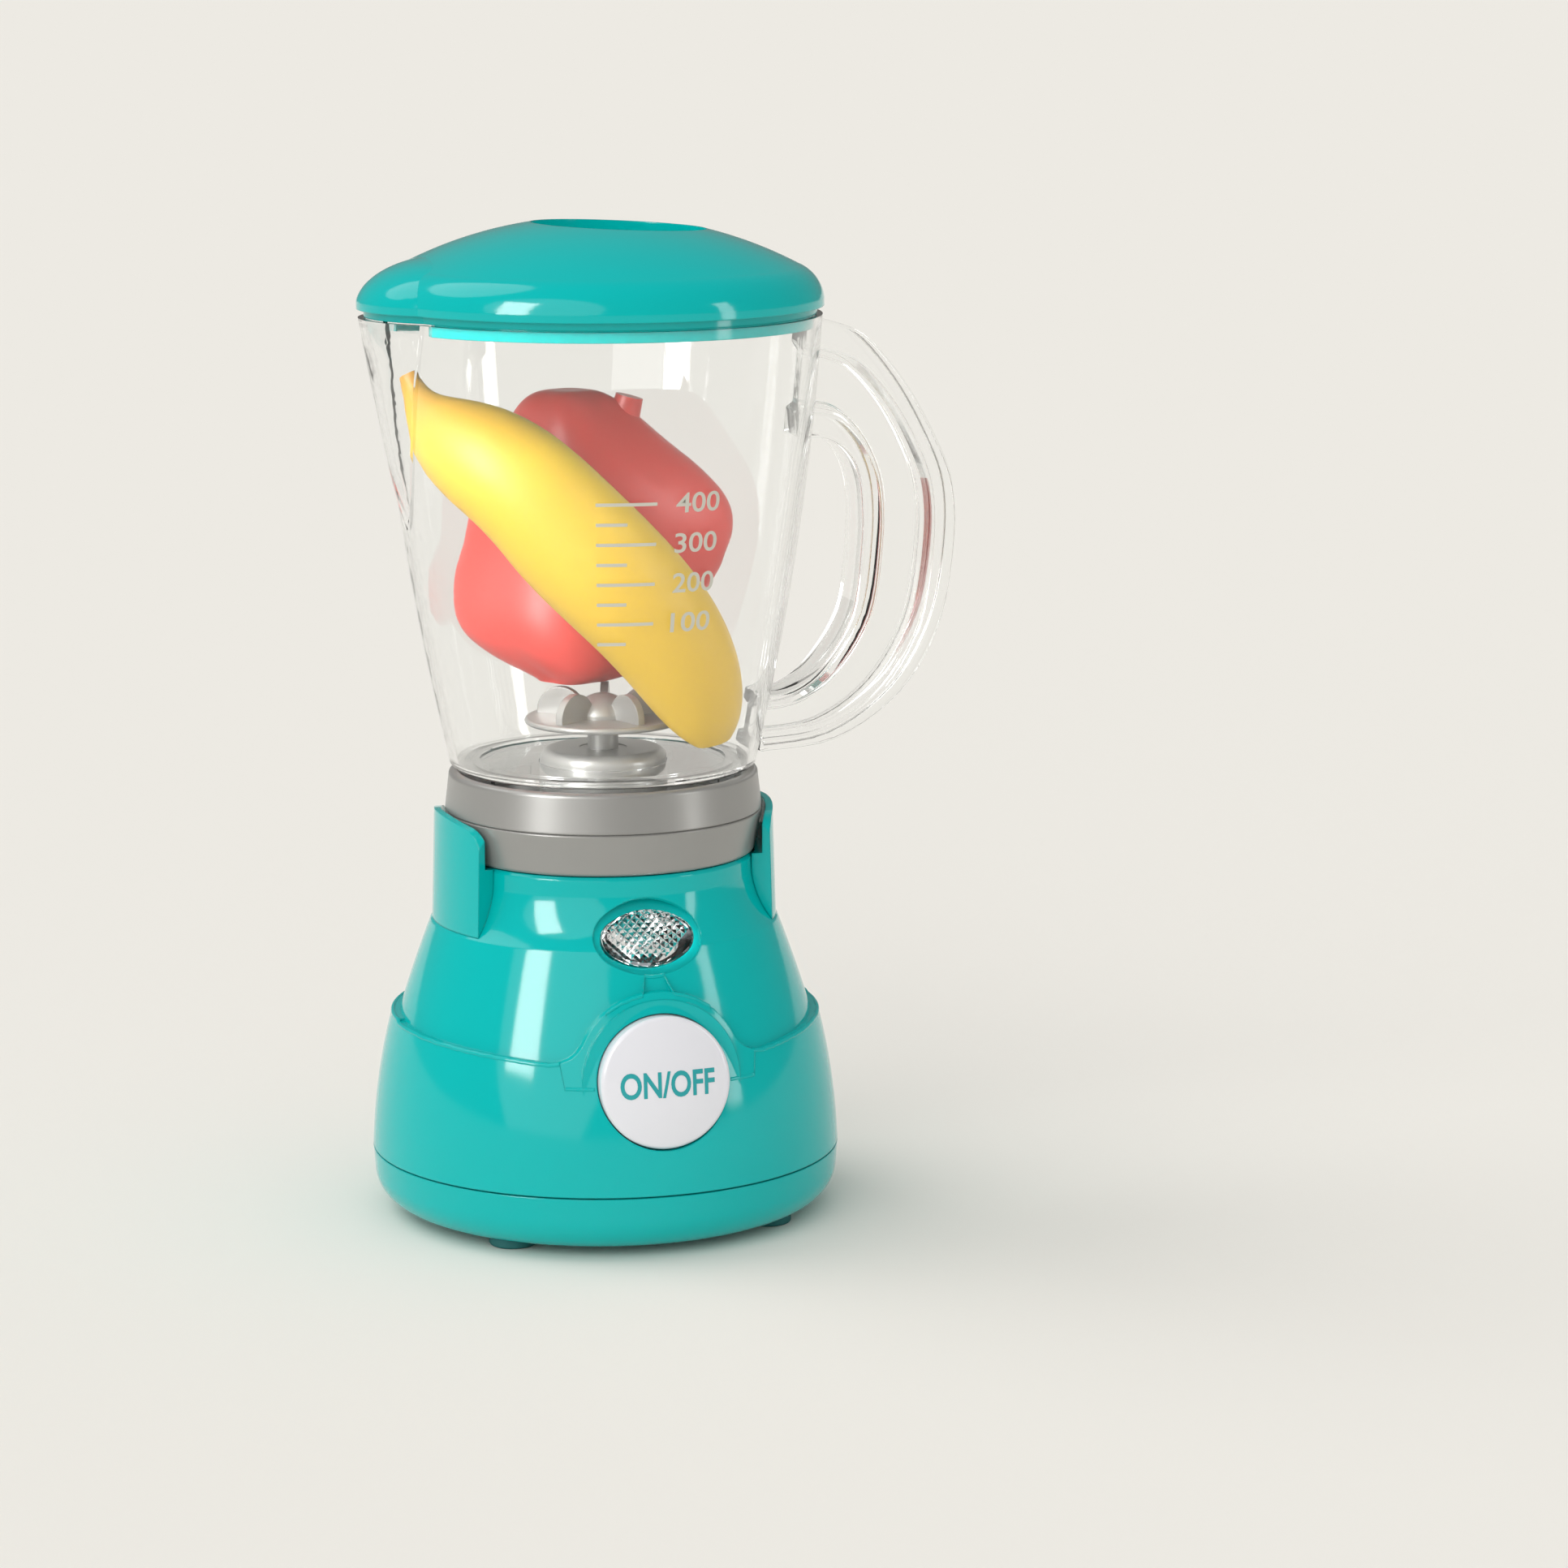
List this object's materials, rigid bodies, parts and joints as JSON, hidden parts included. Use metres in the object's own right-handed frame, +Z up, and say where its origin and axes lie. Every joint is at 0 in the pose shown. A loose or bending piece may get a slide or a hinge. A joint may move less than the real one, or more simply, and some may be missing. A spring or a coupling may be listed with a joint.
{
  "type": "toy blender",
  "caption": "Battery toy blender: teal base with a white press button and lamp, grey twist collar with finned blade, clear spouted jug with side handle, domed lid, play fruit inside.",
  "frame": {"origin": "on the floor under the middle of the round base, on the blade's axis", "axes": "+Z up along the blade's axis, -Y towards the press button, +X towards the jug handle, -X towards the spout"},
  "size_m": [0.1548, 0.1202, 0.2529],
  "materials": {
    "black_plastic": "black plastic",
    "board": "board laminate",
    "cell_wrap": "plain cell sleeve",
    "clear_plastic": "clear glossy plastic",
    "gear_plastic": "natural acetal",
    "grey_plastic": "satin silver-grey plastic",
    "motor_can": "plated motor can",
    "red_plastic": "soft red plastic",
    "reflector": "vacuum plated",
    "rubber_pad": "soft pad",
    "steel": "plated steel",
    "teal_plastic": "glossy moulded teal plastic",
    "white_plastic": "glossy white plastic",
    "yellow_plastic": "soft yellow plastic"
  },
  "bodies": {
    "base": {"base_housing": "teal_plastic", "side_guards": "teal_plastic", "bottom_tray": "teal_plastic", "battery_door": "teal_plastic", "rubber_feet": "rubber_pad", "door_screw": "steel", "housing_screws": "steel", "bracket_screws": "steel", "aa_cells": "cell_wrap", "battery_contacts": "steel", "button_spring": "steel", "circuit_board": "board", "push_switch": "black_plastic", "lamp_lens": "clear_plastic", "lamp_reflector": "reflector", "led": "white_plastic", "motor_plate": "black_plastic", "motor": "motor_can"},
    "button": {"button_cap": "white_plastic"},
    "motor_rotor": {"motor_shaft": "steel", "motor_pinion": "gear_plastic"},
    "drive": {"drive_gear": "gear_plastic", "spindle": "steel", "drive_coupling": "black_plastic"},
    "blade_base": {"collar_lower": "grey_plastic", "collar_upper": "grey_plastic", "blade_seat": "grey_plastic", "shaft_bush": "grey_plastic"},
    "blade_rotor": {"driven_coupling": "black_plastic", "blade_shaft": "grey_plastic", "blade": "grey_plastic"},
    "jug": {"jug": "clear_plastic", "jug_handle": "clear_plastic"},
    "lid": {"lid": "teal_plastic"},
    "pepper": {"pepper": "red_plastic"},
    "banana": {"banana": "yellow_plastic"}
  },
  "joints": [
    {"name": "button_press", "type": "slide", "parent": "base", "child": "button", "axis": [0, 0.9954, -0.0958], "range_m": [0, 0.002], "stiffness_N_per_m": 400, "springref_m": -0.001, "deforming": ["button_spring"]},
    {"name": "drive_spin", "type": "hinge", "parent": "base", "child": "drive", "pos_m": [0, 0, 0.064], "axis": [0, 0, 1], "continuous": true},
    {"name": "motor_spin", "type": "hinge", "parent": "base", "child": "motor_rotor", "pos_m": [-0.0168, 0, 0.064], "axis": [0, 0, 1], "continuous": true},
    {"name": "jug_unit_lift", "type": "slide", "parent": "base", "child": "blade_base", "axis": [0, 0, 1], "range_m": [0, 0.04]},
    {"name": "blade_spin", "type": "hinge", "parent": "blade_base", "child": "blade_rotor", "pos_m": [0, 0, 0.12], "axis": [0, 0, 1], "continuous": true},
    {"name": "jug_twist", "type": "hinge", "parent": "blade_base", "child": "jug", "pos_m": [0, 0, 0.11], "axis": [0, 0, 1], "range_deg": [0, 30]},
    {"name": "lid_lift", "type": "slide", "parent": "jug", "child": "lid", "axis": [0, 0, 1], "range_m": [0, 0.04]},
    {"name": "pepper_hop", "type": "slide", "parent": "jug", "child": "pepper", "axis": [0, 0, 1], "range_m": [0, 0.003]},
    {"name": "banana_hop", "type": "slide", "parent": "jug", "child": "banana", "axis": [0, 0, 1], "range_m": [0, 0.003]}
  ],
  "couplings": [
    {"joint": "motor_spin", "follows": "drive_spin", "ratio": -3.2},
    {"joint": "blade_spin", "follows": "drive_spin", "ratio": 1}
  ]
}
